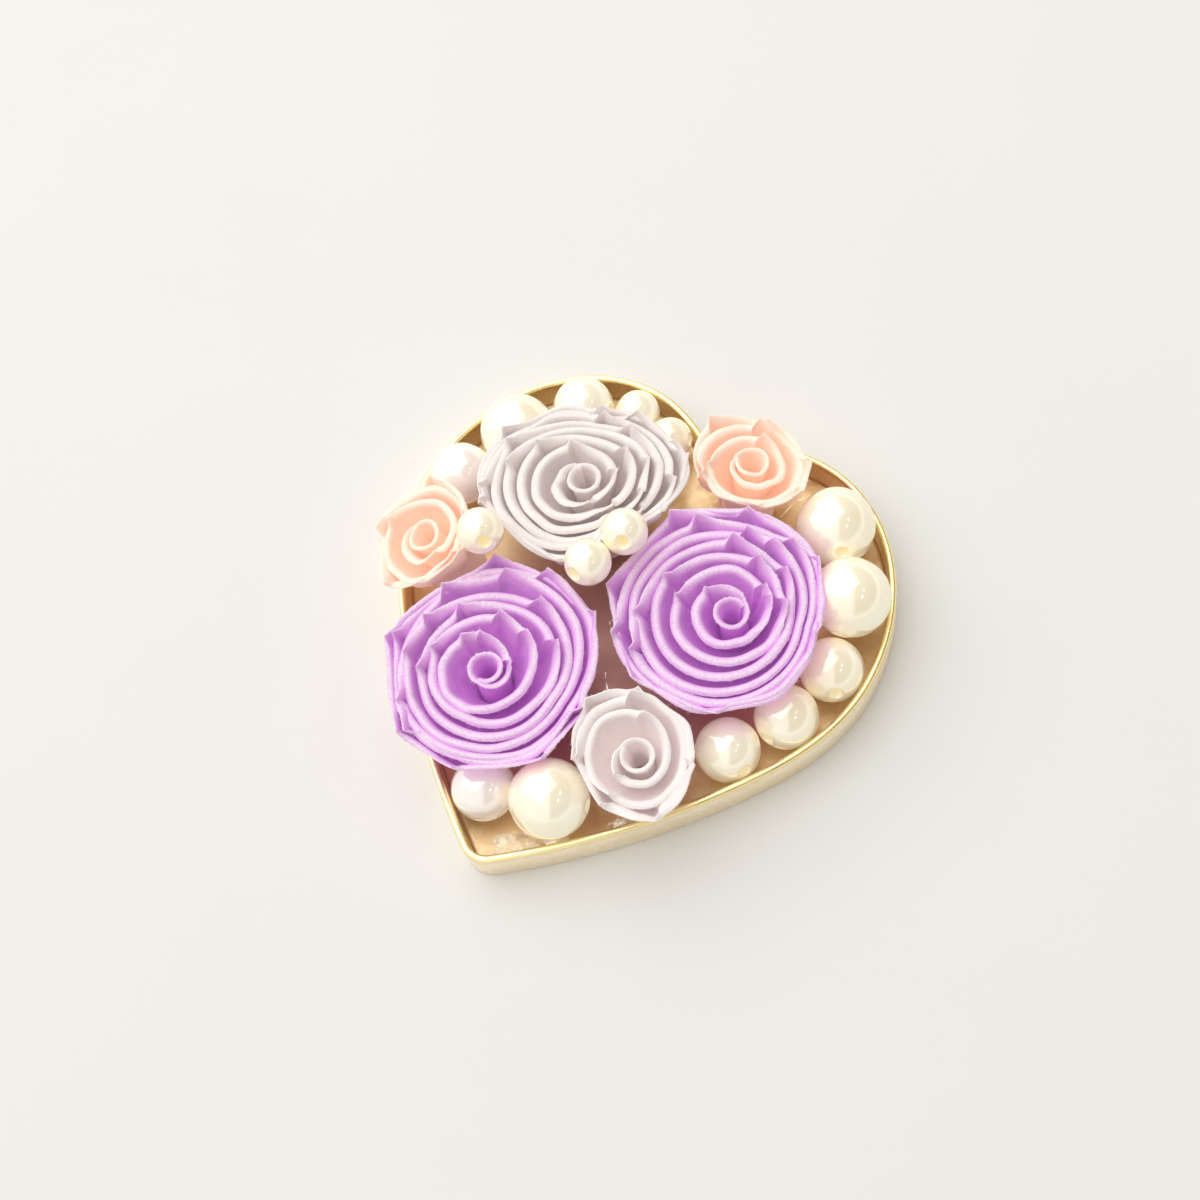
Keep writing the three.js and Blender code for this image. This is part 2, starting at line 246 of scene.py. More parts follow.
# %% Window lamp and room light
WINDOW_FROM = Vector((-0.5, 0.12, 0.86)).normalized()
WINDOW_AWAY = 0.5
WINDOW_SIZE = (0.8, 0.8)
WINDOW_GLOW = 1.22
STRIP_SIZE = (0.06, 0.006)
STRIP_GLOW = 20.0
STRIPS_FROM = [(0.75, -0.05, 0.9), (0.62, 0.32, 0.9)]
ROOM_BRIGHT = (1.0, 1.0, 1.0, 1.0)
ROOM_DIM = (0.34, 0.28, 0.2, 1.0)
ROOM_WARM = (1.0, 0.96, 0.88, 1.0)
ROOM_FILL = 0.5
ROOM_MIRRORED = 1.15
DIM_SIDEWAYS = (-0.04, 0.12)
DIM_UPWARDS = (0.1, 0.35)


def hang_lamp(name, direction, away, size, glow):
    """An area lamp that faces the tray. Its power follows from its glow and its face's area."""
    data = bpy.data.lights.new(name, "AREA")
    data.shape = "RECTANGLE"
    data.size, data.size_y = size
    data.energy = glow * math.pi * size[0] * size[1]
    lamp = link(bpy.data.objects.new(name, data))
    lamp.location = direction * away
    lamp.rotation_euler = direction.to_track_quat("Z", "Y").to_euler()
    return lamp


def light_room():
    world = bpy.data.worlds.new("room")
    world.use_nodes = True
    tree = world.node_tree
    direction = add_node(tree, "ShaderNodeTexCoord").outputs["Generated"]
    sideways = add_node(tree, "ShaderNodeVectorMath", operation="DOT_PRODUCT")
    sideways.inputs[1].default_value = camera_right
    join(tree, direction, sideways.inputs[0])
    height = add_node(tree, "ShaderNodeSeparateXYZ")
    join(tree, direction, height.inputs["Vector"])
    ray = add_node(tree, "ShaderNodeLightPath")
    dim = combine(tree, "MULTIPLY", remap(tree, sideways.outputs["Value"], *DIM_SIDEWAYS),
                  remap(tree, height.outputs["Z"], *DIM_UPWARDS))
    mirrored = combine(tree, "MULTIPLY", dim, ray.outputs["Is Glossy Ray"])
    seen = combine(tree, "MAXIMUM", ray.outputs["Is Camera Ray"], ray.outputs["Is Glossy Ray"])
    walls = mix_colours(tree, mirrored, ROOM_BRIGHT, ROOM_DIM)
    feed(tree, tree.nodes["Background"], Color=mix_colours(tree, seen, ROOM_WARM, walls),
         Strength=remap(tree, seen, 0.0, 1.0, ROOM_FILL, ROOM_MIRRORED))
    scene.world = world


hang_lamp("window", WINDOW_FROM, WINDOW_AWAY, WINDOW_SIZE, WINDOW_GLOW)
for number, direction in enumerate(STRIPS_FROM, 1):
    towards = Vector(direction).normalized()
    hang_lamp(f"strip_{number}", towards, WINDOW_AWAY, STRIP_SIZE, STRIP_GLOW)
light_room()

# %% [markdown]
# Handling marks, shared by the metal and the pearls.
# Polished things that were handled carry faint smears and rubbed spots, which show only as
# changes in gloss. A node group builds the pattern once. Its outputs are a smear mask for the
# roughness and a height for the bump, and each material that places it gives its own scale.

# %% Node group: handling marks
SMEAR_SCALE = 0.4
SMEAR_SPAN = (0.42, 0.68)
RIPPLE_SCALE = 2.5


def start_group(name, inputs, outputs):
    """An empty node group with its two end nodes. The sockets are given as names and kinds."""
    group = bpy.data.node_groups.new(name, "ShaderNodeTree")
    for side, sockets in (("INPUT", inputs), ("OUTPUT", outputs)):
        for socket, kind in sockets.items():
            group.interface.new_socket(socket, in_out=side, socket_type=f"NodeSocket{kind}")
    return group, add_node(group, "NodeGroupInput"), add_node(group, "NodeGroupOutput")


def make_handling_marks():
    group, given, made = start_group(
        "handling_marks", {"Scale": "Float"}, {"Smear": "Float", "Height": "Float"})
    scaled = add_node(group, "ShaderNodeVectorMath", operation="SCALE")
    join(group, object_place(group), scaled.inputs[0])
    join(group, given.outputs["Scale"], scaled.inputs["Scale"])
    smear = noise(group, scaled.outputs["Vector"], SMEAR_SCALE, detail=4.0)
    ripple = noise(group, scaled.outputs["Vector"], RIPPLE_SCALE, detail=2.0)
    feed(group, made, Smear=remap(group, smear, *SMEAR_SPAN), Height=ripple)
    return group


handling_marks = make_handling_marks()


def place_group(tree, group, **values):
    node = add_node(tree, "ShaderNodeGroup", node_tree=group)
    for socket, value in values.items():
        node.inputs[socket].default_value = value
    return node


print("group", handling_marks.name, "ready")

# %% [markdown]
# Gold finish.
# The tray is a thin plated casting. Its rim and walls are glossier than the floor. Metal has no
# colour of its own under the gloss, so Metallic is 1 and the colour is the tint of its reflections.
# Wall and floor are two materials from one recipe. The floor's browner, darker tint is a painted
# shade, and the wall's pale cream tint a painted reflection of the white paper. The height above
# the back gives the rim a stronger yellow, a painted highlight. Each finish also darkens towards
# the middle of the tray, a painted shade for the shadow between the roses. Smears raise the
# roughness.

# %% Materials: gold wall and gold floor
RIM_STARTS = 2.55 * MM
RIM_FULL = 2.7 * MM
# The rim's stronger yellow is a painted highlight.
RIM_HIGHLIGHT_GOLD = srgb(255, 236, 178)
# A painted shade for the middle of the tray, where the roses cast their shadow.
PAINTED_SHADE_GOLD = srgb(202, 164, 150)
PAINTED_SHADE_REACH = (7 * MM, 11 * MM)
GOLD_MARKS = 1500.0
GOLD_RELIEF = (0.02 * MM, 0.35)


def make_gold(name, plate, smeared, gloss):
    material, tree, shader = start_material(name, Metallic=1.0)
    marks = place_group(tree, handling_marks, Scale=GOLD_MARKS)
    place = object_place(tree)
    height = add_node(tree, "ShaderNodeSeparateXYZ")
    join(tree, place, height.inputs["Vector"])
    # A painted highlight: the rim at the top of the wall gets a stronger yellow.
    rim_highlight = remap(tree, height.outputs["Z"], RIM_STARTS, RIM_FULL)
    distance = add_node(tree, "ShaderNodeVectorMath", operation="LENGTH")
    join(tree, place, distance.inputs[0])
    # A painted shade: both finishes darken towards the middle of the tray.
    away = remap(tree, distance.outputs["Value"], *PAINTED_SHADE_REACH)
    smears = mix_colours(tree, marks.outputs["Smear"], plate, smeared)
    plated = mix_colours(tree, away, PAINTED_SHADE_GOLD, smears)
    feed(tree, shader, Base_Color=mix_colours(tree, rim_highlight, plated, RIM_HIGHLIGHT_GOLD),
         Roughness=remap(tree, marks.outputs["Smear"], 0.0, 1.0, *gloss))
    bump(tree, shader, marks.outputs["Height"], *GOLD_RELIEF)
    return material


# Wall: pale cream tint, a painted reflection of the paper. Floor: browner tint, a painted shade.
gold_wall = make_gold(
    "gold_wall", plate=srgb(254, 243, 218), smeared=srgb(250, 234, 200), gloss=(0.26, 0.38))
gold_floor = make_gold(
    "gold_floor", plate=srgb(227, 200, 156), smeared=srgb(211, 176, 130), gloss=(0.4, 0.55))
print("materials", gold_wall.name, gold_floor.name)

# %% [markdown]
# The tray's outline.
# The heart has slightly bowed sides that meet in a small round tip, two full lobes and a notch. We
# could trace it point by point, but then a change of width would mean tracing again. It is the
# same chain of an arc and four curves as in the solid model, only with finer steps.

# %% Heart outline
TRAY_WIDTH = 33.2
TRAY_LENGTH = 33.9
TRAY_HEIGHT = 3.0
TRAY_WALL = 0.5
TRAY_BASE = 0.5
TIP_RADIUS = 1.8
NOTCH_DEPTH = 2.5
LOBE_TOP_X = 6.2
WIDEST_BELOW_LOBES = 12.4
SIDE_END_INSET = 3.6
SIDE_BOW = math.radians(9)
QUARTER_LEAD = 0.5523
SIDE_LEAD = 0.43
LOBE_LEAD = 0.4
NOTCH_LEAD = 0.26
CURVE_STEPS = 24
SHARPEST_MITRE = 0.5


def bezier(points, steps=CURVE_STEPS):
    """Points along a curve of four control points, without its first one."""
    a, b, c, d = (np.array(point, float) for point in points)
    t = np.linspace(0, 1, steps + 1)[1:, None]
    return a * (1 - t) ** 3 + 3 * b * t * (1 - t) ** 2 + 3 * c * t ** 2 * (1 - t) + d * t ** 3


def heart_outline():
    half_width, half_length = TRAY_WIDTH / 2, TRAY_LENGTH / 2
    diagonal = math.pi / 4
    turn = np.linspace(-math.pi / 2, -diagonal - SIDE_BOW, CURVE_STEPS // 2)
    tip = TIP_RADIUS * np.stack([np.cos(turn), np.sin(turn)], 1) + (0, TIP_RADIUS - half_length)
    run = half_width - SIDE_END_INSET - tip[-1, 0]
    side = tip[-1] + run
    widest = np.array((half_width, half_length - WIDEST_BELOW_LOBES))
    lobe = np.array((LOBE_TOP_X, half_length))
    notch = np.array((0.0, half_length - NOTCH_DEPTH))
    third = run * math.sqrt(2) / 3
    leaving = np.array((math.cos(diagonal - SIDE_BOW), math.sin(diagonal - SIDE_BOW)))
    arriving = leaving[::-1]
    flank = (widest[0], widest[1] - (widest[1] - side[1]) * SIDE_LEAD)
    rise = (widest[0], widest[1] + (lobe[1] - widest[1]) * QUARTER_LEAD)
    over = (lobe[0] + (widest[0] - lobe[0]) * QUARTER_LEAD, lobe[1])
    fall = (lobe[0] * (1 - LOBE_LEAD), lobe[1])
    cleft = (lobe[0] * NOTCH_LEAD, notch[1] + NOTCH_DEPTH / 2)
    right = np.concatenate([
        tip,
        bezier((tip[-1], tip[-1] + leaving * third, side - arriving * third, side)),
        bezier((side, side + arriving * SIDE_END_INSET / math.sqrt(2), flank, widest)),
        bezier((widest, rise, over, lobe)),
        bezier((lobe, fall, cleft, notch)),
    ])
    return np.concatenate([right, right[-2:0:-1] * (-1, 1)])


def unit(vectors):
    """Vectors of length 1 in the same directions."""
    return vectors / np.linalg.norm(vectors, axis=-1, keepdims=True)


def inset_outline(line, inset):
    """The outline moved inwards by the same distance everywhere."""
    ahead = unit(np.roll(line, -1, 0) - line)
    behind = np.roll(ahead, 1, 0)
    normal = unit(ahead + behind)
    mitre = inset / np.maximum((normal * behind).sum(1), SHARPEST_MITRE)
    return line + np.stack([-normal[:, 1], normal[:, 0]], 1) * mitre[:, None]


heart = heart_outline()
print("heart outline:", len(heart), "points,", heart.max(0) - heart.min(0), "mm")

# %% [markdown]
# The tray itself.
# It was cast in one piece: flat floor, thin wall, and a rim rounded by polishing, with a fine
# line under the rim where the plating was trimmed. An extruded shape with a Bevel modifier comes
# close, but the trim line would need a second cut. Here one profile is carried round the outline,
# so each edge has its own small round, and two flat faces close the floor and the back.

# %% Tray mesh
RIM_ROUND = TRAY_WALL / 2
FOOT_ROUND = 0.18
FLOOR_FILLET = 0.22
TRIM_DEPTH = 0.05
TRIM_WIDTH = 0.16
ROUND_STEPS = 6
TRAY_CREASE = math.radians(50)


def arc(centre, radius, start, end, steps=ROUND_STEPS):
    turn = np.radians(np.linspace(start, end, steps))
    return [(centre[0] + radius * math.cos(t), centre[1] + radius * math.sin(t)) for t in turn]


def tray_profile():
    """Inset and height of the profile, from the back face up over the rim and down to the floor."""
    trim = TRAY_HEIGHT - RIM_ROUND - TRIM_WIDTH
    foot = arc((FOOT_ROUND, FOOT_ROUND), FOOT_ROUND, -90, -180)
    line = [(0, trim - TRIM_WIDTH), (TRIM_DEPTH, trim - TRIM_WIDTH / 2),
            (TRIM_DEPTH, trim + TRIM_WIDTH / 2)]
    rim = arc((RIM_ROUND, TRAY_HEIGHT - RIM_ROUND), RIM_ROUND, 180, 0, 2 * ROUND_STEPS)
    fillet = arc((TRAY_WALL + FLOOR_FILLET, TRAY_BASE + FLOOR_FILLET), FLOOR_FILLET, 180, 270)
    return [*foot, *line, *rim, *fillet]


def mesh_object(name, points, faces, materials, face_materials=None):
    """A smooth-shaded object from points in millimetres."""
    mesh = bpy.data.meshes.new(name)
    mesh.from_pydata((np.asarray(points, float) * MM).tolist(), [], faces)
    for material in materials:
        mesh.materials.append(material)
    if face_materials is not None:
        mesh.polygons.foreach_set("material_index", np.asarray(face_materials, np.int32))
    mesh.shade_smooth()
    mesh.update()
    return link(bpy.data.objects.new(name, mesh))


def ring_faces(rings, size):
    """Quads between neighbouring rings of points, each ring closed on itself."""
    faces = []
    for ring in range(rings - 1):
        for k in range(size):
            a, b = ring * size + k, ring * size + (k + 1) % size
            faces.append((a, b, b + size, a + size))
    return faces


def make_tray():
    rings = [np.column_stack([inset_outline(heart, inset), np.full(len(heart), height)])
             for inset, height in tray_profile()]
    size = len(heart)
    faces = ring_faces(len(rings), size)
    back = tuple(range(size))[::-1]
    floor = tuple(range((len(rings) - 1) * size, len(rings) * size))
    inside = [face // size >= len(rings) - ROUND_STEPS for face in range(len(faces))]
    tray = mesh_object("tray", np.concatenate(rings), [*faces, back, floor],
                       [gold_wall, gold_floor], [*inside, False, True])
    tray.data.set_sharp_from_angle(angle=TRAY_CREASE)
    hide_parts("heart_tray")
    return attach(tray, "root")


tray = make_tray()
print("tray:", len(tray.data.polygons), "faces")

# %% [markdown]
# Pearl lacquer.
# An imitation pearl is a plastic ball in several coats of lacquer with mica in it. Most of its
# glow comes from light scattered just under a hard gloss, so a pale Base Color carries a clear
# coat, and a small Metallic share stands for the mica. Drifting tints keep it from looking like
# paint. The drilled hole shows the bare yellowish plastic. Both let some light through, and a
# little emission stands for that light.

# %% Materials: pearl and bare plastic
TINT_SCALE = 260.0
TINT_SPAN = (0.35, 0.65)
PEARL_MARKS = 1200.0
PEARL_GLOSS = (0.14, 0.22)
PEARL_RELIEF = (0.01 * MM, 0.12)
PLASTIC_SCALE = 4000.0
PLASTIC_COLOURS = (srgb(255, 250, 228), srgb(252, 240, 204))


def make_pearl(name, body, blush):
    material, tree, shader = start_material(
        name, Metallic=0.1, IOR=1.5, Coat_Weight=1.0, Coat_Roughness=0.06, Coat_IOR=1.9,
        Emission_Strength=0.17)
    drift = remap(tree, noise(tree, object_place(tree), TINT_SCALE, detail=1.0), *TINT_SPAN)
    colour = mix_colours(tree, drift, body, blush)
    marks = place_group(tree, handling_marks, Scale=PEARL_MARKS)
    feed(tree, shader, Base_Color=colour, Emission_Color=colour,
         Roughness=remap(tree, marks.outputs["Smear"], 0.0, 1.0, *PEARL_GLOSS))
    bump(tree, shader, marks.outputs["Height"], *PEARL_RELIEF)
    return material


def make_bare_plastic():
    material, tree, shader = start_material("bare_plastic", Roughness=0.5, Emission_Strength=0.15)
    shade = noise(tree, object_place(tree), PLASTIC_SCALE)
    colour = mix_colours(tree, shade, *PLASTIC_COLOURS)
    feed(tree, shader, Base_Color=colour, Emission_Color=colour)
    return material


cream_pearl = make_pearl("cream_pearl", body=srgb(255, 249, 228), blush=srgb(254, 243, 214))
white_pearl = make_pearl("white_pearl", body=srgb(253, 248, 242), blush=srgb(250, 240, 232))
bare_plastic = make_bare_plastic()
print("materials:", cream_pearl.name, white_pearl.name, bare_plastic.name)

# %% [markdown]
# The pearls.
# Each bead was drilled right through for threading, and the drill leaves a softly rounded mouth.
# A UV sphere with a cylinder cut out by a Boolean gives a ragged edge there. A profile turned
# about the bore keeps the mouth clean. Middle and size come from each bead's solid, and the
# bore's direction is given as azimuth and elevation in degrees.

# %% Pearl meshes
BEAD_BORE = 0.8
MOUTH_ROUND = 0.13
MOUTH_EASE = 0.25
BEAD_STEPS = 36
BEAD_SIDES = 64
PEARL_BORES = {
    "pearl_right_1": (-28, 15), "pearl_right_2": (-100, 8), "pearl_right_3": (-55, 19),
    "pearl_right_4": (100, 10), "pearl_right_5": (-53, 23),
    "pearl_tip_1": (15, 5), "pearl_tip_2": (160, 12),
    "pearl_left_1": (20, 10), "pearl_left_2": (170, 5), "pearl_left_3": (15, 8),
    "pearl_left_4": (60, 5), "pearl_left_5": (95, 12),
    "pearl_top_1": (-41, 31), "pearl_top_2": (-100, 20), "pearl_top_3": (-62, 37),
}
WHITE_PEARLS = ("pearl_tip_2", "pearl_left_5")
LARGE_BEAD = 5.1
MIDDLE_BEAD = 4.1
SMALL_BEAD = 2.99


def full_turn(steps):
    return np.linspace(0, 2 * math.pi, steps, endpoint=False)


def bead_profile(diameter):
    """Distance from the bore's axis and height along it, from mouth to mouth."""
    radius, bore = diameter / 2, BEAD_BORE / 2
    first = math.asin((bore + MOUTH_ROUND) / radius)
    turn = np.linspace(first, math.pi - first, BEAD_STEPS)
    ball = np.column_stack([radius * np.sin(turn), -radius * np.cos(turn)])
    mouth = np.array((bore, ball[0, 1] + MOUTH_ROUND))
    soft = np.array((bore, ball[0, 1])) + MOUTH_ROUND * MOUTH_EASE
    low = np.array([mouth, soft])
    return np.concatenate([low, ball, low[::-1] * (1, -1)])


def bead_size(node):
    """The nearest of the three bead sizes, because the solid's flat facets make its box smaller."""
    low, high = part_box(node)
    widest = max(high - low) / MM
    return min((LARGE_BEAD, MIDDLE_BEAD, SMALL_BEAD), key=lambda size: abs(size - widest))


def bead_centre(node):
    low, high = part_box(node)
    return (low + high) / 2 / MM


def make_pearl_bead(node):
    diameter = bead_size(node)
    profile = bead_profile(diameter)
    turn = full_turn(BEAD_SIDES)
    rings = [np.column_stack([r * np.cos(turn), r * np.sin(turn), np.full(BEAD_SIDES, z)])
             for r, z in profile]
    azimuth, elevation = (math.radians(angle) for angle in PEARL_BORES[node])
    axis = Vector((math.cos(elevation) * math.cos(azimuth), math.cos(elevation) * math.sin(azimuth),
                   math.sin(elevation)))
    turned = np.concatenate(rings) @ np.array(axis.to_track_quat("Z", "Y").to_matrix()).T
    faces = ring_faces(len(rings), BEAD_SIDES)
    skin = len(faces)
    last = (len(rings) - 1) * BEAD_SIDES
    for k in range(BEAD_SIDES):
        after = (k + 1) % BEAD_SIDES
        faces.append((k, last + k, last + after, after))
    bare = [0] * skin + [1] * (len(faces) - skin)
    lacquer = white_pearl if node in WHITE_PEARLS else cream_pearl
    placed = turned + np.array(bead_centre(node))
    bead = mesh_object(f"bead_{node}", placed, faces, [lacquer, bare_plastic], bare)
    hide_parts(node)
    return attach(bead, "root")


pearls = [make_pearl_bead(node) for node in PEARL_BORES]
print("pearls:", len(pearls), "sizes:", sorted({bead_size(node) for node in PEARL_BORES}))

# %% [markdown]
# Craft paper, shared by all the roses.
# The paper is soft and dyed through, with short fibres that catch light and pale torn edges where
# it was cut and creased. The node group mixes a mottled dye with fine fibres and lets an edge mask
# bleach the rims. The same mask also lays the pale colour along the crests as a painted highlight.
# Every rose material places the group with its own dye. An image of real paper would do too, but
# noise stays sharp at any distance. Where four numbers stand together, the first two are a span of
# the noise, and the last two are the values that it is stretched to.

# %% Node group: craft paper
FIBRE_SCALE = 7000.0
CLOUD_SCALE = 1100.0
CLOUD_SHADE = (0.3, 0.7, -0.5, 0.5)
FIBRE_SHADE = (0.3, 0.7, 0.92, 1.04)
FIBRE_WEAR = (0.3, 0.6, 0.35, 1.0)
CLOUD_ROUGHNESS = (0.2, 0.8, 0.78, 0.95)


def make_craft_paper():
    group, given, made = start_group(
        "craft_paper", {"Dye": "Color", "Torn": "Color", "Edge_and_highlight": "Float", "Mottle": "Float"},
        {"Color": "Color", "Roughness": "Float", "Height": "Float"})
    place = object_place(group)
    fibre = noise(group, place, FIBRE_SCALE, detail=5.0, roughness=0.7)
    cloud = noise(group, place, CLOUD_SCALE)
    mottled = combine(
        group, "MULTIPLY_ADD", remap(group, cloud, *CLOUD_SHADE), given.outputs["Mottle"],
        remap(group, fibre, *FIBRE_SHADE))
    dyed = add_node(group, "ShaderNodeVectorMath", operation="SCALE")
    join(group, given.outputs["Dye"], dyed.inputs[0])
    join(group, mottled, dyed.inputs["Scale"])
    # The mask bleaches the torn edges and also lays a painted highlight on the crests.
    worn_and_highlight = combine(group, "MULTIPLY", given.outputs["Edge_and_highlight"], remap(group, fibre, *FIBRE_WEAR),
                   use_clamp=True)
    colour = mix_colours(group, worn_and_highlight, dyed.outputs["Vector"], given.outputs["Torn"])
    feed(group, made, Color=colour, Roughness=remap(group, cloud, *CLOUD_ROUGHNESS), Height=fibre)
    return group


craft_paper = make_craft_paper()
print("group", craft_paper.name, "ready")

# %% [markdown]
# Four papers from one group.
# Each paper is the group with its own dye, the paler colour of its torn fibres, which also serves
# as the painted highlight on the crests, and the strength of its mottling. The sheets are thin and
# glow a little where light passes through them, and the last number of each paper says how much.
# True translucency is slow and is lost in other programs, so a low emission in the paper's own
# colour stands for it, and a weak sheen for the fibres that stand up.

# %% Materials: four papers
PAPERS = {
    "purple_paper": (srgb(234, 168, 240), srgb(255, 240, 255), 0.18, 0.06),
    "grey_paper": (srgb(238, 227, 225), srgb(254, 250, 248), 0.07, 0.06),
    "white_paper": (srgb(246, 234, 233), srgb(255, 251, 250), 0.06, 0.08),
    "pink_paper": (srgb(255, 221, 201), srgb(255, 246, 232), 0.08, 0.16),
}
EDGE_AND_HIGHLIGHT_MASK = "edge_and_highlight"
PAPER_RELIEF = (0.03 * MM, 0.5)


def make_paper(slot):
    dye, torn_and_highlight, mottle, glow = PAPERS[slot]
    material, tree, shader = start_material(
        slot, Specular_IOR_Level=0.2, Sheen_Weight=0.15, Sheen_Roughness=0.6,
        Emission_Strength=glow)
    grain = place_group(tree, craft_paper, Dye=dye, Torn=torn_and_highlight, Mottle=mottle)
    edge_and_highlight = add_node(tree, "ShaderNodeAttribute", attribute_name=EDGE_AND_HIGHLIGHT_MASK)
    join(tree, edge_and_highlight.outputs["Fac"], grain.inputs["Edge_and_highlight"])
    feed(tree, shader, Base_Color=grain.outputs["Color"], Emission_Color=grain.outputs["Color"],
         Roughness=grain.outputs["Roughness"])
    bump(tree, shader, grain.outputs["Height"], *PAPER_RELIEF)
    return material


papers = {slot: make_paper(slot) for slot in PAPERS}
print("papers:", list(papers))

# %% [markdown]
# Where each rose stands.
# A rose's axis starts at its seat on the floor of the tray, given in shares of the tray, and may
# lean outwards over the wall. Each corner of its outline is a direction and a share of the rose's
# radius. The bowl is the hollow beside the core, given as a direction and a width. The band is the
# bent upper part of the strip, as a share of the room between two turns, and the fuzz says how
# much the paper frays. The maker folds the inner turns at some corners only, which are listed by
# number. All of this could be typed into each rose's function, but one list is easier to compare.

# %% Rose places
PAPER = 0.25
COIL_GAP = 0.06
GLUE_LINE = 0.1
CORE_FOOT_RADIUS = 0.55
LARGE = dict(radius=7.5, height=5.8, turns=8, band=0.8)
SMALL = dict(radius=4.2, height=5.3, turns=4, band=0.62)
ROSES = {
    "rose_purple_left": dict(
        LARGE, slot="purple_paper", seat=(-0.271, -0.388), lean=0, lean_to=0,
        bowl=(209, 0.5), fuzz=1.0, folded=(2, 3, 4),
        corners=((2, 0.92), (55, 1.11), (116, 1.07), (190, 0.93), (247, 0.92),
                 (283, 0.91), (329, 0.99))),
    "rose_purple_right": dict(
        LARGE, slot="purple_paper", seat=(0.445, 0.207), lean=0, lean_to=0,
        bowl=(135, 0.25), fuzz=1.0, folded=(0, 2, 6),
        corners=((147, 1.11), (194, 1.13), (243, 1.09), (290, 0.99),
                 (375, 0.75), (420, 0.91), (469, 1.0))),
    "rose_grey": dict(
        LARGE, slot="grey_paper", seat=(-0.303, 0.418), lean=5, lean_to=135,
        bowl=(209, 0.3), fuzz=0.4, folded=(0, 4, 5),
        corners=((-140, 1.01), (-75, 0.91), (-43, 0.69), (-2, 0.92),
                 (39, 1.0), (107, 0.72), (172, 1.03))),
    "rose_white": dict(
        SMALL, slot="white_paper", seat=(0.379, -0.408), lean=5, lean_to=-45,
        bowl=(195, 0.4), fuzz=0.4, folded=(1, 4),
        corners=((-149, 0.95), (-97, 0.93), (-46, 1.07), (16, 0.86), (117, 1.07), (160, 1.19))),
    "rose_pink_notch": dict(
        SMALL, slot="pink_paper", seat=(0.21, 0.736), lean=10, lean_to=80,
        bowl=(-80, 0.4), fuzz=0.3, folded=(0, 4),
        corners=((-132, 0.95), (-55, 1.0), (-11, 0.98), (25, 0.9), (99, 0.81), (159, 1.0))),
    "rose_pink_left": dict(
        SMALL, slot="pink_paper", seat=(-0.669, -0.004), lean=20, lean_to=195,
        bowl=(-160, 0.3), fuzz=0.3, folded=(0, 3),
        corners=((-170, 0.88), (-96, 0.95), (-57, 1.0), (-3, 1.1), (42, 0.95), (113, 1.02))),
}


def foot_radius(turn):
    return CORE_FOOT_RADIUS + (PAPER + COIL_GAP) * turn


def rose_axis(rose):
    """The matrix that takes a rose from its own axis into the tray, in millimetres."""
    lean, towards = math.radians(rose["lean"]), math.radians(rose["lean_to"])
    hinge = Vector((-math.sin(towards), math.cos(towards), 0))
    lift = (foot_radius(rose["turns"]) + PAPER) * math.sin(lean)
    seat = Vector((rose["seat"][0] * TRAY_WIDTH / 2, rose["seat"][1] * TRAY_LENGTH / 2,
                   TRAY_BASE + GLUE_LINE + lift))
    return np.array(Matrix.Translation(seat) @ Matrix.Rotation(lean, 4, hinge))


print("roses:", list(ROSES))

# %% [markdown]
# How far each rose reaches.
# The corners give the outline that a rose would have on its own, and a rounder copy for its inner
# turns. Beads and other roses take some of that room away. The solid already gives way to them,
# so its edges near the lip are sampled and sorted by direction, and the strip keeps to the result.
# Smoothing such a closed curve is easiest on its waves.

# %% Outlines and the room left for them
LIP_ZONE = 0.6
SOFT_OVERLAP = 0.25
ROOM_STEP = 3
ROOM_BLUR = 8
ROUND_BLUR = 3.0
EDGE_SAMPLES = 9
DIRECTIONS = np.arange(360)


def blur_round(values, width):
    waves = 2 * math.pi * np.fft.fftfreq(len(values))
    return np.fft.ifft(np.fft.fft(values) * np.exp(-(waves * width) ** 2 / 2)).real


def free_outlines(rose):
    """Radius of the outline for every degree, with its corners and rounded."""
    angles, shares = np.array(rose["corners"]).T
    crisp = rose["radius"] * np.interp(DIRECTIONS, angles, shares, period=360)
    return crisp, blur_round(crisp, math.degrees(ROUND_BLUR / rose["radius"]))


def measure_room(node, rose):
    """The farthest that the lip may reach for every degree about the rose's axis."""
    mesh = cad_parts[node].data
    points = np.empty(3 * len(mesh.vertices), np.float32)
    mesh.vertices.foreach_get("co", points)
    edges = np.empty(2 * len(mesh.edges), np.int32)
    mesh.edges.foreach_get("vertices", edges)
    to_axis = np.linalg.inv(rose_axis(rose))
    local = points.reshape(-1, 3) / MM @ to_axis[:3, :3].T + to_axis[:3, 3]
    ends = local[edges.reshape(-1, 2)]
    along = np.linspace(0, 1, EDGE_SAMPLES)[:, None, None]
    samples = (ends[:, 0] * (1 - along) + ends[:, 1] * along).reshape(-1, 3)
    samples = samples[samples[:, 2] > rose["height"] - LIP_ZONE]
    angles = np.degrees(np.arctan2(samples[:, 1], samples[:, 0])) % 360
    reach = np.zeros(360 // ROOM_STEP)
    np.maximum.at(reach, (angles // ROOM_STEP).astype(int), np.hypot(samples[:, 0], samples[:, 1]))
    reach = np.max([np.roll(reach, shift) for shift in (-1, 0, 1)], axis=0)
    every = np.interp(DIRECTIONS, (np.arange(len(reach)) + 0.5) * ROOM_STEP, reach, period=360)
    return blur_round(every, ROOM_BLUR) + SOFT_OVERLAP


outlines = {node: (*free_outlines(rose), measure_room(node, rose)) for node, rose in ROSES.items()}
for node, (crisp, rounded, room) in outlines.items():
    print(node, "free:", crisp[::60].round(1), "room:", room[::60].round(1), "mm")

